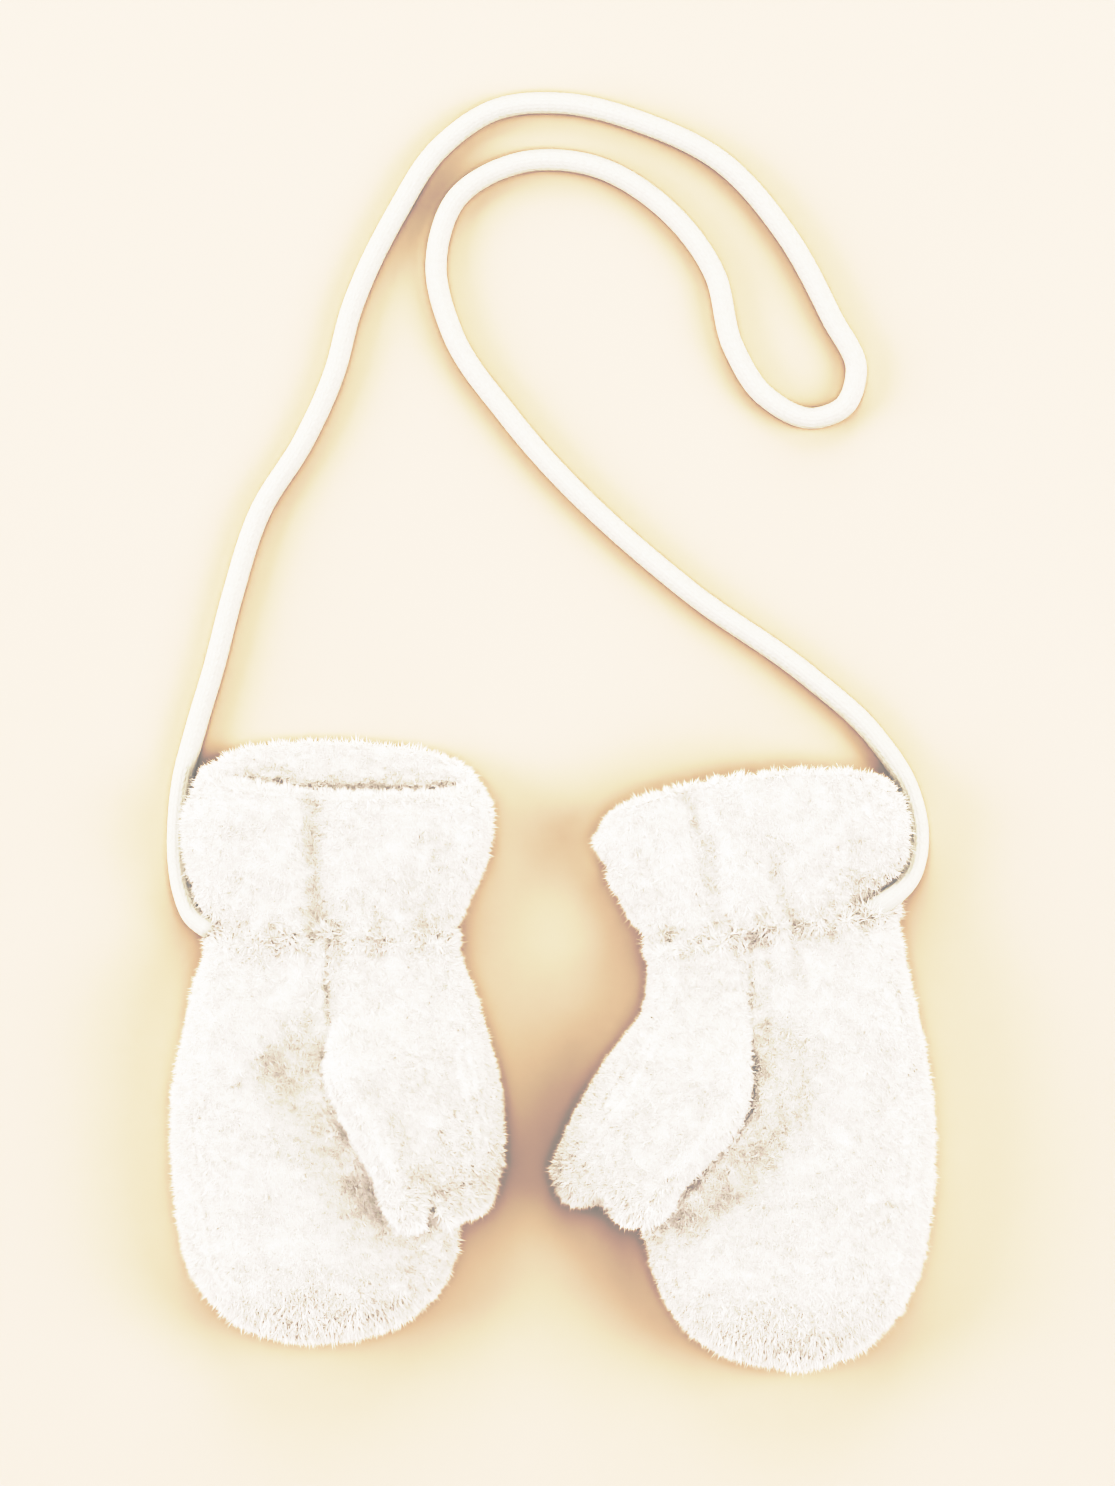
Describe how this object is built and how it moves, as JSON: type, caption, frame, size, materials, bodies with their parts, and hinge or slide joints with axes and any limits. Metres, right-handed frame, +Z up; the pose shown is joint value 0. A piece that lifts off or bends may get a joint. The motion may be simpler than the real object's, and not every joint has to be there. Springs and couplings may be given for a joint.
{
  "type": "pair of baby mittens",
  "caption": "Pair of plush knit baby mittens with thumbs, open cuffs and drawn-in wrists, lying flat side by side, joined by a long soft cord.",
  "frame": {"origin": "on the surface the mittens lie on, under the middle of the two mittens without their cord", "axes": "+X from the left mitten to the right one as seen from above, +Y from the fingertips towards the cuffs and the cord's loops, +Z up, away from the surface"},
  "size_m": [0.1653, 0.2732, 0.0272],
  "materials": {
    "plush": "soft white pile knit, matte with a faint sheen",
    "cord_yarn": "ivory soft knitted cord, matte"
  },
  "bodies": {
    "root": {"left_cuff": "plush", "left_hand": "plush", "left_thumb": "plush", "right_cuff": "plush", "right_hand": "plush", "right_thumb": "plush", "cord": "cord_yarn"}
  },
  "joints": []
}
